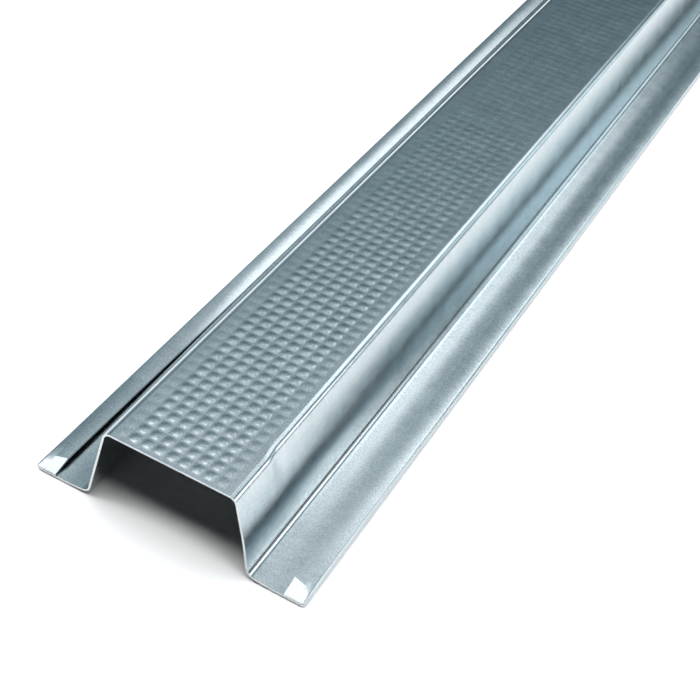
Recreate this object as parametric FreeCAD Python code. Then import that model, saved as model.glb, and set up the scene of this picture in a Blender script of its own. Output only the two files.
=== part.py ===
"""Ceiling furring channel: one strip of thin galvanised sheet, roll-formed to a hat section.

Millimetres, +Z up. The channel lies on its two flanges with its length along Y, and the origin
is on the floor at the middle of the part.
"""
import FreeCAD, Part
import math
import os

# Driving dimensions
length = 2440.0          # stock length, from cut end to cut end
overall_width = 68.3     # over the folds of the two hems
web_width = 31.8         # face that takes the boards, corner to corner
depth = 22.2             # from the underside of the flanges to the face of the web
flange_width = 13.5      # from the foot of a wall to the fold of its hem
sheet = 0.5              # thickness of the strip
web_bend = 1.6           # inside radius of the corners of the web
foot_bend = 2.0          # inside radius at the foot of each wall
hem_bend = 0.4           # inside radius of each hem's fold
lip_width = 5.0          # from a hem's fold to the free edge of its return lip
lip_rise = -4.0          # degrees that a return lip rises to its free edge, below 0 where it leans down
squeezed_rise = -9.5     # the same at a cut end, where the shear has pressed the lip down
squeeze_length = 5.6     # stretch at each end over which the lip rises again

# The wall's lean and the turn of its two bends follow from the section's outer corners
foot_half_span = overall_width / 2 - flange_width
wall_run = foot_half_span - web_width / 2
wall_height = depth - sheet
wall_turn = math.atan2(wall_height, wall_run)
web_setback = (web_bend + sheet) * math.tan(wall_turn / 2)
foot_setback = foot_bend * math.tan(wall_turn / 2)
web_half_flat = web_width / 2 - web_setback
wall_flat = math.hypot(wall_run, wall_height) - web_setback - foot_setback
flange_flat = flange_width - foot_setback - hem_bend - sheet

# Angles of the return lip, and the flat that its width leaves past the fold
lip_angle = math.radians(lip_rise)
squeezed_angle = math.radians(squeezed_rise)
fold_turn = math.pi - lip_angle
lip_flat = (lip_width - sheet - hem_bend * (1 - math.sin(lip_angle))) / math.cos(lip_angle)

# Stations along the channel
near_cut = -length / 2
far_cut = length / 2
near_risen = near_cut + squeeze_length
far_risen = far_cut - squeeze_length

MIDDLE_PLANE = (FreeCAD.Vector(0, 0, 0), FreeCAD.Vector(1, 0, 0))


def pointing(run, angle):
    """A step of the XZ plane, at an angle turned from +X towards +Z."""
    return FreeCAD.Vector(run * math.cos(angle), 0, run * math.sin(angle))


def turned_about(centre, point, angle):
    arm = point - centre
    return centre + pointing(arm.x, angle) + pointing(arm.z, angle + math.pi / 2)


class Strip:
    """Half of the sheet's section, traced by flats and bends from the middle of the web to the right.

    The face is the side that takes the boards on the web, and the back is the side of the hollow.
    """

    def __init__(self, station):
        self.face = FreeCAD.Vector(0, station, depth)
        self.back = FreeCAD.Vector(0, station, depth - sheet)
        self.heading = 0.0
        self.edges = []

    def flat(self, run):
        step = pointing(run, self.heading)
        self.edges.append(Part.makeLine(self.face, self.face + step))
        self.edges.append(Part.makeLine(self.back, self.back + step))
        self.face = self.face + step
        self.back = self.back + step

    def bend(self, turn, inside_radius):
        """A positive turn bends towards the face, and a negative one towards the back."""
        to_face = pointing(inside_radius, self.heading + math.pi / 2)
        centre = self.face + to_face if turn > 0 else self.back - to_face
        self.face = self.arc(centre, self.face, turn)
        self.back = self.arc(centre, self.back, turn)
        self.heading += turn

    def arc(self, centre, start, turn):
        middle = turned_about(centre, start, turn / 2)
        end = turned_about(centre, start, turn)
        self.edges.append(Part.Arc(start, middle, end).toShape())
        return end

    def cap(self):
        self.edges.append(Part.makeLine(self.face, self.back))


def half_strip(station):
    """The right half of the section, up to the end of the hem's fold."""
    strip = Strip(station)
    strip.cap()
    strip.flat(web_half_flat)
    strip.bend(-wall_turn, web_bend)
    strip.flat(wall_flat)
    strip.bend(wall_turn, foot_bend)
    strip.flat(flange_flat)
    strip.bend(fold_turn, hem_bend)
    strip.cap()
    return strip


def lip_section(station, angle):
    """The right return lip, from its root on the fold to a free edge that rises by an angle."""
    root = half_strip(station)
    heading = math.pi - angle
    free_face = root.face + pointing(lip_flat, heading)
    free_back = free_face - pointing(sheet, heading + math.pi / 2)
    return Part.makePolygon([root.face, free_face, free_back, root.back, root.face])


def return_lip():
    """The right lip: a narrow gap over the flange, and pressed down on it at the two cut ends."""
    along = FreeCAD.Vector(0, far_risen - near_risen, 0)
    middle = Part.Face(lip_section(near_risen, lip_angle)).extrude(along)
    ends = [Part.makeLoft([lip_section(cut, squeezed_angle), lip_section(risen, lip_angle)], True, True)
            for cut, risen in ((near_cut, near_risen), (far_cut, far_risen))]
    return [middle] + ends


def channel_half():
    """Half web, wall, flange and hem of the right side."""
    outline = Part.Wire(Part.__sortEdges__(half_strip(near_cut).edges))
    strip = Part.Face(outline).extrude(FreeCAD.Vector(0, length, 0))
    return strip.fuse(return_lip())


right_half = channel_half()
channel = right_half.fuse(right_half.mirror(*MIDDLE_PLANE)).removeSplitter().Solids[0]

os.makedirs("parts", exist_ok=True)
channel.exportStep("parts/furring_channel.step")
print("valid", channel.isValid(), "faces", len(channel.Faces), "volume_cm3", round(channel.Volume / 1000, 2))
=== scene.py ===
"""Looks of a ceiling furring channel: one strip of galvanised sheet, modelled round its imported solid.

The sheet is traced from the middle of the web out to the free edge of a return lip, as the rolls form it,
then mirrored and given its thickness. The dotted face of the web is pressed cell by cell and sewn in.
"""

import math

import bmesh
import bpy
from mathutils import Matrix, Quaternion, Vector


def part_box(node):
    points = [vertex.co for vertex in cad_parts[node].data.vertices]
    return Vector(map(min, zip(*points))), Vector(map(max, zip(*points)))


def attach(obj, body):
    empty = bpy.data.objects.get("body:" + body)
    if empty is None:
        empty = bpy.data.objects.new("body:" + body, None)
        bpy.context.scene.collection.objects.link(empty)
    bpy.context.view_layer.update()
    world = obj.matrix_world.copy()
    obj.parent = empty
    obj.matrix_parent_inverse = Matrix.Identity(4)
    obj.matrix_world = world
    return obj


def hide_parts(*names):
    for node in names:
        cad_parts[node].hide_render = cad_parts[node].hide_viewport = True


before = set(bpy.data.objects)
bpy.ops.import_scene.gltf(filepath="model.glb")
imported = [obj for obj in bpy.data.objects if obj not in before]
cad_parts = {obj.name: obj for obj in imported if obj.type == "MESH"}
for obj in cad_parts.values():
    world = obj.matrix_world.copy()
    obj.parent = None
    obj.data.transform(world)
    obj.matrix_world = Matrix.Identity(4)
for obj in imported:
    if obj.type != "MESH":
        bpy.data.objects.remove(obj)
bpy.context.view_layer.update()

MM = 0.001
NODE = "furring_channel"
low_corner, high_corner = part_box(NODE)

# Section of the channel, as in the solid
OVERALL_WIDTH = high_corner.x - low_corner.x
LENGTH = high_corner.y - low_corner.y
DEPTH = high_corner.z - low_corner.z
NEAR_CUT = low_corner.y
FAR_CUT = high_corner.y
WEB_WIDTH = 31.8 * MM
FLANGE_WIDTH = 13.5 * MM
SHEET = 0.5 * MM
WEB_BEND = 1.6 * MM
FOOT_BEND = 2.0 * MM
HEM_BEND = 0.4 * MM
LIP_WIDTH = 5.0 * MM

# Finer than in the solid: hems a hair inside its box, flanges that sag by the foot, and lips that rise
HEM_SLACK = 0.005 * MM
FLANGE_SAG = math.radians(5)
SAG_FLAT = 2.2 * MM
SAG_CURVE = 3.5 * MM
LIP_RISE = math.radians(2)

# Pressed dots of the web
DOT_COLUMNS = 9
DOT_PITCH_ACROSS = 3.05 * MM
DOT_PITCH_ALONG = 3.07 * MM
DOT_RADIUS = 1.45 * MM
DOT_HEIGHT = 0.15 * MM
DOT_SIDES = 8
FINE_ROWS = 50
FIRST_CELL_GAP = 0.8 * MM
COLUMN_SHIFT = -0.4 * MM

# Rings of a domed dot: inset of each, and the height it reaches, as shares of the dot. A plain dot has none
FINE_DOT = [(0.28, 0.48), (0.28, 0.82), (0.24, 0.96)]
PLAIN_DOT = []

# Outer columns of dots: their side, and the share of the height that they are pressed to
OUTER_COLUMNS = [(-1, 0.25), (1, 0.6)]

# Stretch over which the dots get lower, away from a cut, and the share of the height that they lose
FADE_FROM = 40.0 * MM
FADE_TO = 148.0 * MM
FADE_SHARE = 0.65

# Lips: sprung open near a cut, settled further along, and pressed shut by the shear at the cut itself
LIP_BOW = 0.36 * MM
BOW_PEAK = 2 / 3
RIGHT_BOWED = 0.65
SETTLED_DROP = 1.0 * MM
RIGHT_SETTLED = 0.2
SETTLED_FROM = 9.0 * MM
SETTLED_TO = 85.0 * MM
PRESS_AT_FOLD = 3.0 * MM
PRESS_AT_EDGE = 4.4 * MM
PRESS_DROP = 1.0 * MM

# Right corner of the web at the near cut, sprung out as far as a kink
FLARE_LENGTH = 12.5 * MM
FLARE_KINK = 4.5 * MM
FLARE_SPREAD = 22.0 * MM
FLARE_REACH = 0.45 * MM
FLARE_FOOT = 2.0 * MM
FLARE_MIDDLE = 11.0 * MM
FLARE_TOP = 20.5 * MM

# Mesh: stations along the channel, and how near counts as touching, on a crease or looking along an axis
SPAN = 61.0 * MM
END_SPANS = 2
TOUCHING = 0.001 * MM
CREASE_REACH = 0.01 * MM
LOOKS_ALONG = 0.9
SMOOTH_BELOW = math.radians(50)

# The dots stand on the flat of the web and reach up to the face of the solid
WEB_FACE = DEPTH - DOT_HEIGHT

# Dark and light tones of the zinc and of the sheared steel, and the relief of their grain
ZINC_DARK = (0.435, 0.48, 0.50, 1)
ZINC_LIGHT = (0.565, 0.61, 0.63, 1)
CUT_DARK = (0.48, 0.50, 0.51, 1)
CUT_LIGHT = (0.70, 0.71, 0.71, 1)
GRAIN_RELIEF = 0.002 * MM

# Sockets of the Mix node that share their names, by number
VALUE_A = 2
VALUE_B = 3
COLOUR_A = 6
COLOUR_B = 7
COLOUR_RESULT = 2

# Photo's viewpoint, from the middle of the near cut
CAMERA_PLACE = Vector((103.743, -155.674, 225.343)) * MM
CAMERA_AIM = Vector((3.731, 74.25, 0.0)) * MM
CAMERA_ROLL = math.radians(8.205)
CAMERA_LENS = 69.64

# Room behind the channel: its level by the height of a direction, up to the ceiling
ROOM_LEVELS = [(0.19, 0.08), (0.34, 0.13), (0.46, 0.28), (0.62, 0.50), (0.78, 0.86)]

# Fades of the room: axis of a direction, where a fade starts and ends, and the share left at its start
ROOM_FADES = [("Y", -0.2, 0.3, 0.0), ("X", 0.45, 0.0, 0.45), ("X", -0.75, -0.40, 0.75)]

# Tints of the room where it is dim and where it is bright
DIM_LEVEL = 0.2
BRIGHT_LEVEL = 1.2
DIM_TINT = (0.58, 0.87, 1.0, 1)
BRIGHT_TINT = (1, 1, 1, 1)

# Backdrop, as parts of a direction: a pale horizon all round, and a front that gets paler with height
HORIZON_PALE = 0.09
HORIZON_END = 0.19
HORIZON_LEVEL = 0.89
FRONT_START = -0.05
FRONT_FULL = -0.4
FRONT_RISE_FROM = 0.45
FRONT_RISE_TO = 0.8
FRONT_LOW = 0.22
FRONT_HIGH = 0.95

# Axes of the soft boxes: where a box faces, and its two sides
UP = Vector((0, 0, 1))
RIGHT = Vector((1, 0, 0))
BACK = Vector((0, 1, 0))
SIDE_TURN = math.radians(55)
SIDE_FACING = Vector((math.cos(SIDE_TURN), math.sin(SIDE_TURN), 0))
LEFT_FACING = Vector((-1, 1, 0)).normalized()
SIDE_AXES = (SIDE_FACING, SIDE_FACING.cross(UP), UP)
LEFT_AXES = (LEFT_FACING, LEFT_FACING.cross(UP), UP)
CEILING_AXES = (UP, RIGHT, BACK)
WHITE = (1, 1, 1)
PALE = (0.75, 0.93, 1.0)
TEAL = (0.4, 0.8, 1.0)

# Soft boxes: axes, sides as slopes from where the box faces, soft edge, level and colour
SOFT_BOXES = [
    (CEILING_AXES, (-1.05, 1.0), (-0.31, 0.45), 0.07, 1.5, WHITE),
    (CEILING_AXES, (-1.0, 1.0), (-0.31, -0.05), 0.06, 3.0, WHITE),
    (CEILING_AXES, (-0.19, 0.55), (0.78, 1.6), 0.09, 1.5, WHITE),
    (SIDE_AXES, (0.15, 0.50), (0.28, 0.62), 0.08, 3.2, WHITE),
    (SIDE_AXES, (-0.20, 0.02), (0.15, 0.55), 0.12, 1.9, PALE),
    (SIDE_AXES, (-0.40, 0.60), (0.50, 0.90), 0.10, 0.22, TEAL),
    (LEFT_AXES, (-0.6, 0.18), (0.12, 0.44), 0.10, 0.45, PALE),
]
LEAST_AHEAD = 0.01
BOX_BEHIND = 0.2
BOX_AHEAD = 0.3

# Floor: a hair under the channel, with the tone that it lights things by and the one that is seen
FLOOR_SIZE = 160.0
FLOOR_DROP = 0.4 * MM
FLOOR_TONE = 0.4
FLOOR_SEEN = 1.42


def deselect_objects():
    """Leaves nothing selected, so that the next operator acts on the new piece alone."""
    bpy.ops.object.select_all(action="DESELECT")


def pick(piece, kind, wanted):
    """Selects the vertices, edges or faces of a piece in edit mode that pass a test."""
    bpy.ops.mesh.select_mode(type=kind)
    bpy.ops.mesh.select_all(action="DESELECT")
    mesh = bmesh.from_edit_mesh(piece.data)
    elements = {"VERT": mesh.verts, "EDGE": mesh.edges, "FACE": mesh.faces}[kind]
    for element in elements:
        element.select_set(wanted(element))
    mesh.select_flush_mode()
    bmesh.update_edit_mesh(piece.data)


def fill_open_edges():
    """Closes the gap between the open edges of a mesh in edit mode, and turns its faces outwards."""
    bpy.ops.mesh.select_mode(type="EDGE")
    bpy.ops.mesh.select_all(action="DESELECT")
    bpy.ops.mesh.select_non_manifold(extend=False)
    bpy.ops.mesh.fill()
    bpy.ops.mesh.select_all(action="SELECT")
    bpy.ops.mesh.normals_make_consistent(inside=False)


def apply_modifier(piece, kind, **settings):
    """Adds a modifier to a piece and applies it."""
    modifier = piece.modifiers.new(kind.lower(), kind)
    for name, value in settings.items():
        setattr(modifier, name, value)
    bpy.ops.object.modifier_apply(modifier=modifier.name)


class RolledEdge:
    """The selected edge of the sheet, led on along flats and round bends with its face side up."""

    def __init__(self, x, z):
        self.x = x
        self.z = z
        self.heading = 0.0

    def flat(self, run, steps=1):
        """Extrudes the edge straight on."""
        step = run / steps
        across = step * math.cos(self.heading)
        up = step * math.sin(self.heading)
        for _ in range(steps):
            bpy.ops.mesh.extrude_region_move(TRANSFORM_OT_translate={"value": (across, 0, up)})
        self.x += run * math.cos(self.heading)
        self.z += run * math.sin(self.heading)

    def bend(self, turn, inside_radius, steps):
        """Spins the edge round a bend: a positive turn folds towards the face side, a negative one away."""
        to_centre = inside_radius if turn > 0 else -(inside_radius + SHEET)
        centre_x = self.x - to_centre * math.sin(self.heading)
        centre_z = self.z + to_centre * math.cos(self.heading)
        bpy.ops.mesh.spin(steps=steps, angle=turn, center=(centre_x, 0, centre_z), axis=(0, 1, 0))
        self.heading += turn
        self.x = centre_x + to_centre * math.sin(self.heading)
        self.z = centre_z - to_centre * math.cos(self.heading)


def traced_half():
    """The face side of the sheet from the middle of the web to the free edge of the right lip."""
    foot_half_span = OVERALL_WIDTH / 2 - FLANGE_WIDTH
    sag_radius = SAG_CURVE / math.sin(FLANGE_SAG)
    sag_drop = sag_radius * (1 - math.cos(FLANGE_SAG)) + SAG_FLAT * math.sin(FLANGE_SAG)
    wall_run = foot_half_span - WEB_WIDTH / 2
    wall_height = WEB_FACE - SHEET - sag_drop
    wall_turn = math.atan2(wall_height, wall_run)
    foot_turn = wall_turn - FLANGE_SAG
    web_setback = (WEB_BEND + SHEET) * math.tan(wall_turn / 2)
    bends_drop = (WEB_BEND + SHEET) * (1 - math.cos(wall_turn))
    bends_drop += FOOT_BEND * (math.cos(FLANGE_SAG) - math.cos(wall_turn))
    wall_flat = (wall_height - bends_drop) / math.sin(wall_turn)
    web_half_flat = WEB_WIDTH / 2 - web_setback
    hem_centre = OVERALL_WIDTH / 2 - HEM_BEND - SHEET - HEM_SLACK
    lip_root = hem_centre + HEM_BEND * math.sin(LIP_RISE)
    lip_edge = OVERALL_WIDTH / 2 - LIP_WIDTH

    deselect_objects()
    bpy.ops.mesh.primitive_plane_add(size=1, location=(web_half_flat / 2, 0, WEB_FACE))
    strip = bpy.context.object
    strip.name = "channel_sheet"
    bpy.ops.transform.resize(value=(web_half_flat, LENGTH, 1))
    bpy.ops.object.transform_apply(location=True, rotation=True, scale=True)

    bpy.ops.object.mode_set(mode="EDIT")
    pick(strip, "EDGE", lambda edge: all(v.co.x > web_half_flat - TOUCHING for v in edge.verts))
    edge = RolledEdge(web_half_flat, WEB_FACE)
    edge.bend(-wall_turn, WEB_BEND, steps=10)
    edge.flat(wall_flat, steps=8)
    edge.bend(foot_turn, FOOT_BEND, steps=10)
    edge.flat(SAG_FLAT)
    edge.bend(FLANGE_SAG, sag_radius, steps=4)
    edge.flat(hem_centre - edge.x)
    edge.bend(math.pi - LIP_RISE, HEM_BEND, steps=14)
    edge.flat((lip_root - lip_edge) / math.cos(LIP_RISE), steps=4)
    bpy.ops.object.mode_set(mode="OBJECT")
    return strip


def add_stations(strip):
    """Cuts loops across the strip: close together where its ends are bent, far apart between."""
    settling = [SETTLED_FROM + (SETTLED_TO - SETTLED_FROM) * step / 6 for step in range(7)]
    kinked = [FLARE_LENGTH + FLARE_KINK * step / 4 for step in range(5)]
    kinked += [FLARE_LENGTH + FLARE_SPREAD * step / 5 for step in range(2, 6)]
    near = [NEAR_CUT + distance for distance in kinked + settling]
    far = [FAR_CUT - distance for distance in settling]
    spans = round(LENGTH / SPAN)
    between_ends = [NEAR_CUT + LENGTH * step / spans for step in range(END_SPANS + 1, spans - END_SPANS)]
    bpy.ops.object.mode_set(mode="EDIT")
    for station in near + between_ends + far:
        bpy.ops.mesh.select_all(action="SELECT")
        bpy.ops.mesh.bisect(plane_co=(0, station, 0), plane_no=(0, 1, 0))
    bpy.ops.object.mode_set(mode="OBJECT")


def is_on_lip(point):
    """Whether a point of the sheet is on the upper half of a hem or on its lip."""
    return point.z > HEM_BEND + SHEET - TOUCHING and abs(point.x) > OVERALL_WIDTH / 2 - LIP_WIDTH - SHEET


def on_lip_of_side(face, side):
    """Whether a face is on the lip of the left side, -1, or of the right one, 1."""
    middle = face.calc_center_median()
    return middle.x * side > 0 and is_on_lip(middle)


def crease_lips(strip):
    """Cuts the slanting crease of the pressed tip into each lip, at both cuts."""
    fold = OVERALL_WIDTH / 2
    bpy.ops.object.mode_set(mode="EDIT")
    for side in (-1, 1):
        for cut, inward in ((NEAR_CUT, 1), (FAR_CUT, -1)):
            pick(strip, "FACE", lambda face: on_lip_of_side(face, side))
            start = Vector((side * fold, cut + inward * PRESS_AT_FOLD, 0))
            end = Vector((side * (fold - LIP_WIDTH), cut + inward * PRESS_AT_EDGE, 0))
            across = (end - start).cross(UP).normalized()
            bpy.ops.mesh.bisect(plane_co=start, plane_no=across)
    bpy.ops.object.mode_set(mode="OBJECT")


def push(strip, direction, distance, share):
    """Moves each vertex along an axis by its share of a distance."""
    group = strip.vertex_groups.new(name="share")
    for vertex in strip.data.vertices:
        group.add([vertex.index], share(vertex.co), "REPLACE")
    apply_modifier(
        strip, "DISPLACE", direction=direction, strength=distance, mid_level=0, vertex_group=group.name
    )
    strip.vertex_groups.clear()


def ramp(value, start, end):
    """0 before start, 1 after end and a smooth rise between."""
    share = min(max((value - start) / (end - start), 0), 1)
    return share * share * (3 - 2 * share)


def lip_share(point):
    """0 at the fold of a hem and off the lips, rising to 1 at the free edge of a lip."""
    lip_root = OVERALL_WIDTH / 2 - HEM_BEND - SHEET
    if not is_on_lip(point):
        return 0
    return min(max((lip_root - abs(point.x)) / (lip_root - OVERALL_WIDTH / 2 + LIP_WIDTH), 0), 1)


def bowed_share(point):
    """How far a lip is bowed up: most of all two thirds of the way from its fold, and less on the right."""
    of_side = RIGHT_BOWED if point.x > 0 else 1
    share = lip_share(point)
    return of_side * share * (2 * BOW_PEAK - share)


def settled_share(point):
    """How far a lip has come down towards its flange, away from the cuts."""
    from_cut = min(point.y - NEAR_CUT, FAR_CUT - point.y)
    of_side = RIGHT_SETTLED if point.x > 0 else 1
    return of_side * lip_share(point) * ramp(from_cut, SETTLED_FROM, SETTLED_TO)


def from_crease(point):
    """How far a point is past the slanting crease of its lip, towards the nearer cut."""
    from_cut = min(point.y - NEAR_CUT, FAR_CUT - point.y)
    from_fold = OVERALL_WIDTH / 2 - abs(point.x)
    return PRESS_AT_FOLD + (PRESS_AT_EDGE - PRESS_AT_FOLD) * from_fold / LIP_WIDTH - from_cut


def pressed_share(point):
    """How far a lip's tip is pressed down: a flat facet from the slanting crease to the cut."""
    from_fold = OVERALL_WIDTH / 2 - abs(point.x)
    if not is_on_lip(point):
        return 0
    round_fold = min(max(from_fold / (HEM_BEND + SHEET), 0), 1)
    return min(max(from_crease(point), 0) / PRESS_AT_EDGE, 1) * round_fold


def on_crease(point):
    """Whether a point of the finished sheet is on the crease of a pressed tip."""
    over_flange = abs(point.x) > OVERALL_WIDTH / 2 - LIP_WIDTH - SHEET and point.z > 2 * SHEET
    return over_flange and abs(from_crease(point)) < CREASE_REACH


def flared_share(point):
    """How far the right wall is sprung out at the near cut: up to a kink on top, softly lower down."""
    if point.x < WEB_WIDTH / 4:
        return 0
    softness = 1 - ramp(point.z, FLARE_MIDDLE, FLARE_TOP)
    run = FLARE_KINK + (FLARE_SPREAD - FLARE_KINK) * softness
    along = 1 - ramp(point.y - NEAR_CUT, FLARE_LENGTH, FLARE_LENGTH + run)
    return along * ramp(point.z, FLARE_FOOT, FLARE_MIDDLE)


def turn_web_up(strip):
    """Turns all faces over where the face of the web looks down."""
    web_normals = [face.normal.z for face in strip.data.polygons if face.center.z > WEB_FACE - TOUCHING]
    if min(web_normals) < 0:
        strip.data.flip_normals()


def bent_sheet():
    """The whole strip as a closed sheet of even thickness, with its ends as the shear leaves them."""
    strip = traced_half()
    apply_modifier(strip, "MIRROR", use_axis=(True, False, False), merge_threshold=TOUCHING)
    add_stations(strip)
    bpy.ops.object.mode_set(mode="EDIT")
    bpy.ops.mesh.select_all(action="SELECT")
    bpy.ops.mesh.remove_doubles(threshold=TOUCHING)
    bpy.ops.mesh.normals_make_consistent(inside=False)
    bpy.ops.object.mode_set(mode="OBJECT")
    turn_web_up(strip)
    crease_lips(strip)
    apply_modifier(strip, "SOLIDIFY", thickness=SHEET, offset=-1, use_even_offset=True)
    push(strip, "Z", LIP_BOW, bowed_share)
    push(strip, "Z", -SETTLED_DROP, settled_share)
    push(strip, "Z", -PRESS_DROP, pressed_share)
    push(strip, "X", FLARE_REACH, flared_share)
    bpy.ops.object.mode_set(mode="EDIT")
    for cut in (NEAR_CUT, FAR_CUT):
        pick(strip, "VERT", lambda vertex: abs(vertex.co.y - cut) < SHEET)
        bpy.ops.transform.resize(value=(1, 0, 1), center_override=(0, cut, 0))
    bpy.ops.object.mode_set(mode="OBJECT")
    return strip


def dot_cell(rings):
    """One dot of the web in the middle of its square of flat sheet: a low dome with eight sides."""
    deselect_objects()
    first_x = COLUMN_SHIFT - DOT_PITCH_ACROSS * (DOT_COLUMNS - 1) / 2
    first_y = NEAR_CUT + FIRST_CELL_GAP + DOT_PITCH_ALONG / 2
    centre = (first_x, first_y, WEB_FACE)
    bpy.ops.mesh.primitive_circle_add(
        vertices=DOT_SIDES, radius=DOT_RADIUS, fill_type="NGON", location=centre,
        rotation=(0, 0, math.pi / DOT_SIDES),
    )
    cell = bpy.context.object
    bpy.ops.object.transform_apply(location=True, rotation=True, scale=True)
    bpy.ops.object.mode_set(mode="EDIT")
    bpy.ops.mesh.select_all(action="SELECT")
    risen = 0.0
    for inset_share, height_share in rings:
        bpy.ops.mesh.inset(thickness=DOT_RADIUS * inset_share, depth=DOT_HEIGHT * (height_share - risen))
        risen = height_share
    bpy.ops.mesh.poke(offset=DOT_HEIGHT * (1 - risen))
    bpy.ops.mesh.primitive_circle_add(
        vertices=4, radius=DOT_PITCH_ACROSS / math.sqrt(2), location=centre, rotation=(0, 0, math.pi / 4)
    )
    bpy.ops.transform.resize(value=(1, DOT_PITCH_ALONG / DOT_PITCH_ACROSS, 1), center_override=centre)
    fill_open_edges()
    bpy.ops.object.mode_set(mode="OBJECT")
    return cell


def dot_rows(rings, first_row, rows):
    """Rows of dots side by side across the web, with the outer columns pressed less."""
    cell = dot_cell(rings)
    apply_modifier(
        cell, "ARRAY", count=DOT_COLUMNS, use_relative_offset=False, use_constant_offset=True,
        constant_offset_displace=(DOT_PITCH_ACROSS, 0, 0),
    )
    bpy.ops.object.mode_set(mode="EDIT")
    half_width = DOT_PITCH_ACROSS * (DOT_COLUMNS / 2 - 1)
    for side, strength in OUTER_COLUMNS:
        pick(cell, "VERT", lambda vertex: (vertex.co.x - COLUMN_SHIFT) * side > half_width + TOUCHING)
        bpy.ops.transform.resize(value=(1, 1, strength), center_override=(0, 0, WEB_FACE))
    bpy.ops.mesh.select_all(action="SELECT")
    bpy.ops.transform.translate(value=(0, first_row * DOT_PITCH_ALONG, 0))
    bpy.ops.object.mode_set(mode="OBJECT")
    apply_modifier(
        cell, "ARRAY", count=rows, use_relative_offset=False, use_constant_offset=True,
        constant_offset_displace=(0, DOT_PITCH_ALONG, 0),
    )
    push(cell, "Z", -DOT_HEIGHT, faded_share)
    return cell


def faded_share(point):
    """How much lower a point of a dot is, away from the cuts, as the photo shows the dots fading."""
    from_cut = min(point.y - NEAR_CUT, FAR_CUT - point.y)
    return FADE_SHARE * ramp(from_cut, FADE_FROM, FADE_TO) * max((point.z - WEB_FACE) / DOT_HEIGHT, 0)


def is_flat_web(face):
    """Whether a face of the bent sheet is on the flat upper side of the web."""
    on_top = all(vertex.co.z > WEB_FACE - TOUCHING for vertex in face.verts)
    return on_top and face.normal.z > LOOKS_ALONG


def channel():
    """The finished channel: the bent sheet with the flat face of its web cut out and the dots sewn in."""
    strip = bent_sheet()
    row_count = int((LENGTH - 2 * FIRST_CELL_GAP) / DOT_PITCH_ALONG)
    near_dots = dot_rows(FINE_DOT, 0, FINE_ROWS)
    far_dots = dot_rows(PLAIN_DOT, FINE_ROWS, row_count - FINE_ROWS)

    deselect_objects()
    bpy.context.view_layer.objects.active = strip
    strip.select_set(True)
    bpy.ops.object.mode_set(mode="EDIT")
    pick(strip, "FACE", is_flat_web)
    bpy.ops.mesh.delete(type="FACE")
    bpy.ops.object.mode_set(mode="OBJECT")
    near_dots.select_set(True)
    far_dots.select_set(True)
    bpy.ops.object.join()

    bpy.ops.object.mode_set(mode="EDIT")
    bpy.ops.mesh.select_all(action="SELECT")
    bpy.ops.mesh.remove_doubles(threshold=TOUCHING)
    fill_open_edges()
    bpy.ops.object.mode_set(mode="OBJECT")
    turn_web_up(strip)
    bpy.ops.object.shade_smooth_by_angle(angle=SMOOTH_BELOW)
    bpy.ops.object.mode_set(mode="EDIT")
    pick(strip, "EDGE", lambda edge: all(on_crease(vertex.co) for vertex in edge.verts))
    bpy.ops.mesh.mark_sharp()
    bpy.ops.object.mode_set(mode="OBJECT")
    apply_modifier(strip, "WEIGHTED_NORMAL", weight=50, keep_sharp=True)
    return strip


def node_maker(tree):
    """A short way to add nodes to a tree: settings by name, then inputs by socket name or number."""

    def make(kind, inputs=(), **settings):
        node = tree.nodes.new(kind)
        for name, value in settings.items():
            setattr(node, name, value)
        for socket, value in dict(inputs).items():
            if isinstance(value, bpy.types.NodeSocket):
                tree.links.new(value, node.inputs[socket])
            else:
                node.inputs[socket].default_value = value
        return node

    return make


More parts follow.
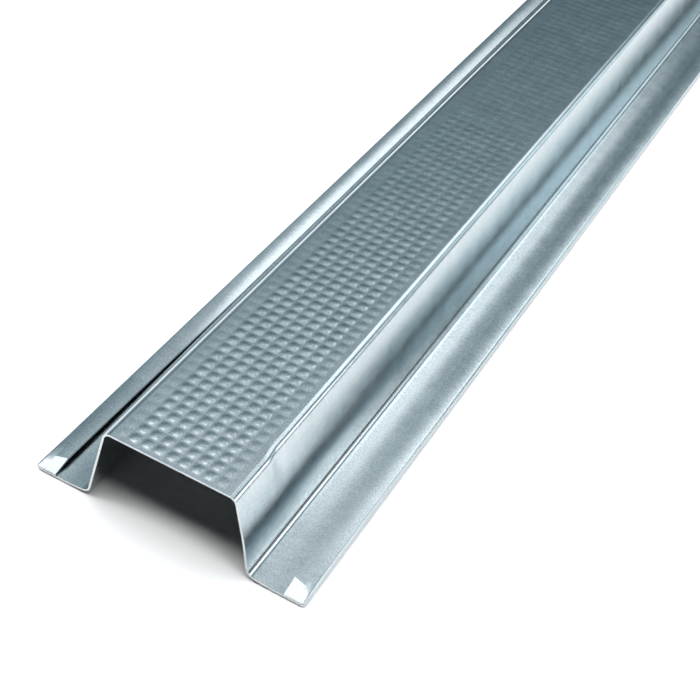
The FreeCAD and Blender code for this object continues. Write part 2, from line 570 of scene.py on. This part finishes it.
def spangle_group():
    """Crystal flakes, grain and roll lines of hot-dip zinc, as masks and a height over the surface."""
    group = bpy.data.node_groups.new("zinc_spangle", "ShaderNodeTree")
    sockets = group.interface
    sockets.new_socket("Vector", in_out="INPUT", socket_type="NodeSocketVector")
    sockets.new_socket("Tone", in_out="OUTPUT", socket_type="NodeSocketFloat")
    sockets.new_socket("Roughness", in_out="OUTPUT", socket_type="NodeSocketFloat")
    sockets.new_socket("Height", in_out="OUTPUT", socket_type="NodeSocketFloat")
    make = node_maker(group)
    place = make("NodeGroupInput").outputs["Vector"]
    patches = make("ShaderNodeTexNoise", {"Vector": place, "Scale": 170.0, "Detail": 3.0}).outputs["Fac"]
    flakes = make("ShaderNodeTexNoise", {"Vector": place, "Scale": 1100.0, "Detail": 3.0}).outputs["Fac"]
    grain = make("ShaderNodeTexNoise", {"Vector": place, "Scale": 3000.0, "Detail": 2.0}).outputs["Fac"]
    stretched = make("ShaderNodeMapping", {"Vector": place, "Scale": (1.0, 0.02, 1.0)}).outputs[0]
    lines = make("ShaderNodeTexNoise", {"Vector": stretched, "Scale": 1500.0, "Detail": 2.0}).outputs["Fac"]
    drawn = make("ShaderNodeMapping", {"Vector": place, "Scale": (0.3, 1.0, 0.03)}).outputs[0]
    streaks = make("ShaderNodeTexNoise", {"Vector": drawn, "Scale": 1300.0, "Detail": 2.0}).outputs["Fac"]
    flakes = make(
        "ShaderNodeMix", {"Factor": 0.4, VALUE_A: flakes, VALUE_B: streaks}, data_type="FLOAT"
    ).outputs[0]
    mottle = make(
        "ShaderNodeMix", {"Factor": 0.5, VALUE_A: patches, VALUE_B: flakes}, data_type="FLOAT"
    ).outputs[0]
    speckle = make(
        "ShaderNodeMix", {"Factor": 0.55, VALUE_A: mottle, VALUE_B: grain}, data_type="FLOAT"
    ).outputs[0]
    tone = make("ShaderNodeMapRange", {"Value": speckle, "From Min": 0.42, "From Max": 0.58}).outputs[0]
    rough = make("ShaderNodeMapRange", {"Value": mottle, "To Min": 0.12, "To Max": 0.24}).outputs[0]
    height = make("ShaderNodeMath", {0: lines, 1: 0.5, 2: grain}, operation="MULTIPLY_ADD").outputs[0]
    make("NodeGroupOutput", {"Tone": tone, "Roughness": rough, "Height": height})
    return group


def zinc_material(name, spangle, dark, light):
    """A metal with the spangle over it, between a dark and a light tone."""
    material = bpy.data.materials.new(name)
    material.use_nodes = True
    tree = material.node_tree
    tree.nodes.clear()
    make = node_maker(tree)
    place = make("ShaderNodeTexCoord").outputs["Object"]
    flakes = make("ShaderNodeGroup", node_tree=spangle)
    tree.links.new(place, flakes.inputs["Vector"])
    colour = make(
        "ShaderNodeMix",
        {"Factor": flakes.outputs["Tone"], COLOUR_A: dark, COLOUR_B: light},
        data_type="RGBA",
    ).outputs[COLOUR_RESULT]
    relief = make(
        "ShaderNodeBump", {"Height": flakes.outputs["Height"], "Strength": 1.0, "Distance": GRAIN_RELIEF}
    ).outputs[0]
    metal = make(
        "ShaderNodeBsdfPrincipled",
        {
            "Base Color": colour,
            "Metallic": 1.0,
            "Roughness": flakes.outputs["Roughness"],
            "Normal": relief,
        },
    )
    make("ShaderNodeOutputMaterial", {"Surface": metal.outputs[0]})
    return material


def dress(strip):
    """Gives the channel its galvanised face and the bare steel of its sheared ends."""
    spangle = spangle_group()
    face = zinc_material("galvanised_steel", spangle, ZINC_DARK, ZINC_LIGHT)
    cut = zinc_material("sheared_edge", spangle, CUT_DARK, CUT_LIGHT)
    strip.data.materials.clear()
    strip.data.materials.append(face)
    strip.data.materials.append(cut)
    for polygon in strip.data.polygons:
        polygon.material_index = 1 if abs(polygon.normal.y) > LOOKS_ALONG else 0


def seen_directly(make):
    """1 for what the camera sees by itself or mirrored in the metal, 0 for what lights a matt surface."""
    path = make("ShaderNodeLightPath").outputs
    seen = path["Is Camera Ray"]
    for kind in ("Is Glossy Ray", "Is Transmission Ray"):
        seen = make("ShaderNodeMath", {0: seen, 1: path[kind]}, operation="MAXIMUM").outputs[0]
    first = make("ShaderNodeMath", {0: path["Diffuse Depth"], 1: 0.5}, operation="LESS_THAN").outputs[0]
    return make("ShaderNodeMath", {0: seen, 1: first}, operation="MULTIPLY").outputs[0]


def pale_floor():
    """A wide matt floor. The camera and the metal see it white, and it keeps the channel's shadow."""
    deselect_objects()
    bpy.ops.mesh.primitive_plane_add(size=FLOOR_SIZE, location=(0, 0, -FLOOR_DROP))
    floor = bpy.context.object
    floor.name = "floor"
    white = bpy.data.materials.new("pale_floor")
    white.use_nodes = True
    tree = white.node_tree
    tree.nodes.clear()
    make = node_maker(tree)
    tone = make(
        "ShaderNodeMapRange", {"Value": seen_directly(make), "To Min": FLOOR_TONE, "To Max": FLOOR_SEEN}
    ).outputs[0]
    matt = make("ShaderNodeBsdfDiffuse", {"Color": tone})
    make("ShaderNodeOutputMaterial", {"Surface": matt.outputs[0]})
    floor.data.materials.append(white)


def between(make, value, low, high, edge):
    """1 where a value lies between low and high, falling to 0 over a soft edge."""
    rise = make(
        "ShaderNodeMapRange", {"Value": value, "From Min": low - edge, "From Max": low + edge},
        interpolation_type="SMOOTHSTEP",
    ).outputs[0]
    fall = make(
        "ShaderNodeMapRange", {"Value": value, "From Min": high + edge, "From Max": high - edge},
        interpolation_type="SMOOTHSTEP",
    ).outputs[0]
    return make("ShaderNodeMath", {0: rise, 1: fall}, operation="MULTIPLY").outputs[0]


def soft_box(make, ray, axes, across, along, edge, level, colour):
    """A rectangular soft box: its level within its sides, nothing behind and past them."""
    facing, side, rise = [
        make("ShaderNodeVectorMath", {0: ray, 1: axis}, operation="DOT_PRODUCT").outputs["Value"]
        for axis in axes
    ]
    ahead = make("ShaderNodeMath", {0: facing, 1: LEAST_AHEAD}, operation="MAXIMUM").outputs[0]
    side_slope = make("ShaderNodeMath", {0: side, 1: ahead}, operation="DIVIDE").outputs[0]
    rise_slope = make("ShaderNodeMath", {0: rise, 1: ahead}, operation="DIVIDE").outputs[0]
    inside = make(
        "ShaderNodeMath",
        {0: between(make, side_slope, *across, edge), 1: between(make, rise_slope, *along, edge)},
        operation="MULTIPLY",
    ).outputs[0]
    in_front = make(
        "ShaderNodeMapRange",
        {"Value": facing, "From Min": BOX_BEHIND, "From Max": BOX_AHEAD, "To Max": level},
    ).outputs[0]
    shine = make("ShaderNodeMath", {0: inside, 1: in_front}, operation="MULTIPLY").outputs[0]
    return make("ShaderNodeVectorMath", {0: shine, 1: colour}, operation="MULTIPLY").outputs[0]


def room_light(make, parts):
    """The dim room behind: brighter with height, faded to the front and sides, bluer where it is dim."""
    level = ROOM_LEVELS[0][1]
    for (low, low_level), (high, high_level) in zip(ROOM_LEVELS, ROOM_LEVELS[1:]):
        rise = make(
            "ShaderNodeMapRange",
            {"Value": parts["Z"], "From Min": low, "From Max": high, "To Max": high_level - low_level},
        ).outputs[0]
        level = make("ShaderNodeMath", {0: rise, 1: level}, operation="ADD").outputs[0]
    for axis, start, end, left in ROOM_FADES:
        share = make(
            "ShaderNodeMapRange",
            {"Value": parts[axis], "From Min": start, "From Max": end, "To Min": left},
        ).outputs[0]
        level = make("ShaderNodeMath", {0: level, 1: share}, operation="MULTIPLY").outputs[0]
    brightness = make(
        "ShaderNodeMapRange", {"Value": level, "From Min": DIM_LEVEL, "From Max": BRIGHT_LEVEL}
    ).outputs[0]
    tint = make(
        "ShaderNodeMix",
        {"Factor": brightness, COLOUR_A: DIM_TINT, COLOUR_B: BRIGHT_TINT},
        data_type="RGBA",
    ).outputs[COLOUR_RESULT]
    return make("ShaderNodeVectorMath", {0: tint, 1: level}, operation="MULTIPLY").outputs[0]


def backdrop(make, parts):
    """The pale horizon and front of the room, which the camera and the metal see."""
    horizon = make(
        "ShaderNodeMapRange",
        {
            "Value": parts["Z"],
            "From Min": HORIZON_END,
            "From Max": HORIZON_PALE,
            "To Max": HORIZON_LEVEL,
        },
    ).outputs[0]
    front = make(
        "ShaderNodeMapRange",
        {
            "Value": parts["Z"],
            "From Min": FRONT_RISE_FROM,
            "From Max": FRONT_RISE_TO,
            "To Min": FRONT_LOW,
            "To Max": FRONT_HIGH,
        },
    ).outputs[0]
    ahead = make(
        "ShaderNodeMapRange", {"Value": parts["Y"], "From Min": FRONT_START, "From Max": FRONT_FULL}
    ).outputs[0]
    front = make("ShaderNodeMath", {0: front, 1: ahead}, operation="MULTIPLY").outputs[0]
    pale = make("ShaderNodeMath", {0: horizon, 1: front}, operation="MAXIMUM").outputs[0]
    return make("ShaderNodeMath", {0: pale, 1: seen_directly(make)}, operation="MULTIPLY").outputs[0]


def studio_light():
    """Plain soft light: a dim room, a pale backdrop, and soft boxes on the ceiling and behind."""
    world = bpy.data.worlds.new("studio")
    bpy.context.scene.world = world
    world.use_nodes = True
    tree = world.node_tree
    tree.nodes.clear()
    make = node_maker(tree)
    ray = make("ShaderNodeTexCoord").outputs["Generated"]
    parts = make("ShaderNodeSeparateXYZ", {0: ray}).outputs
    light = room_light(make, parts)
    shines = [backdrop(make, parts)] + [soft_box(make, ray, *box) for box in SOFT_BOXES]
    for shine in shines:
        light = make("ShaderNodeVectorMath", {0: light, 1: shine}, operation="ADD").outputs[0]
    sky = make("ShaderNodeBackground", {"Color": light})
    make("ShaderNodeOutputWorld", {"Surface": sky.outputs[0]})


def photo_camera():
    """The camera at the photo's viewing angle on the near end."""
    data = bpy.data.cameras.new("photo_camera")
    data.sensor_width = 36
    data.lens = CAMERA_LENS
    data.clip_start = 0.01
    data.clip_end = 300
    camera = bpy.data.objects.new("photo_camera", data)
    bpy.context.scene.collection.objects.link(camera)
    place = Vector((0, NEAR_CUT, 0)) + CAMERA_PLACE
    aim = Vector((0, NEAR_CUT, 0)) + CAMERA_AIM
    level = (aim - place).to_track_quat("-Z", "Y")
    camera.location = place
    camera.rotation_mode = "QUATERNION"
    camera.rotation_quaternion = level @ Quaternion((0, 0, 1), CAMERA_ROLL)
    bpy.context.scene.camera = camera


bpy.context.scene.view_settings.view_transform = "Standard"
strip = channel()
dress(strip)
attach(strip, "root")
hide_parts(NODE)
pale_floor()
studio_light()
photo_camera()
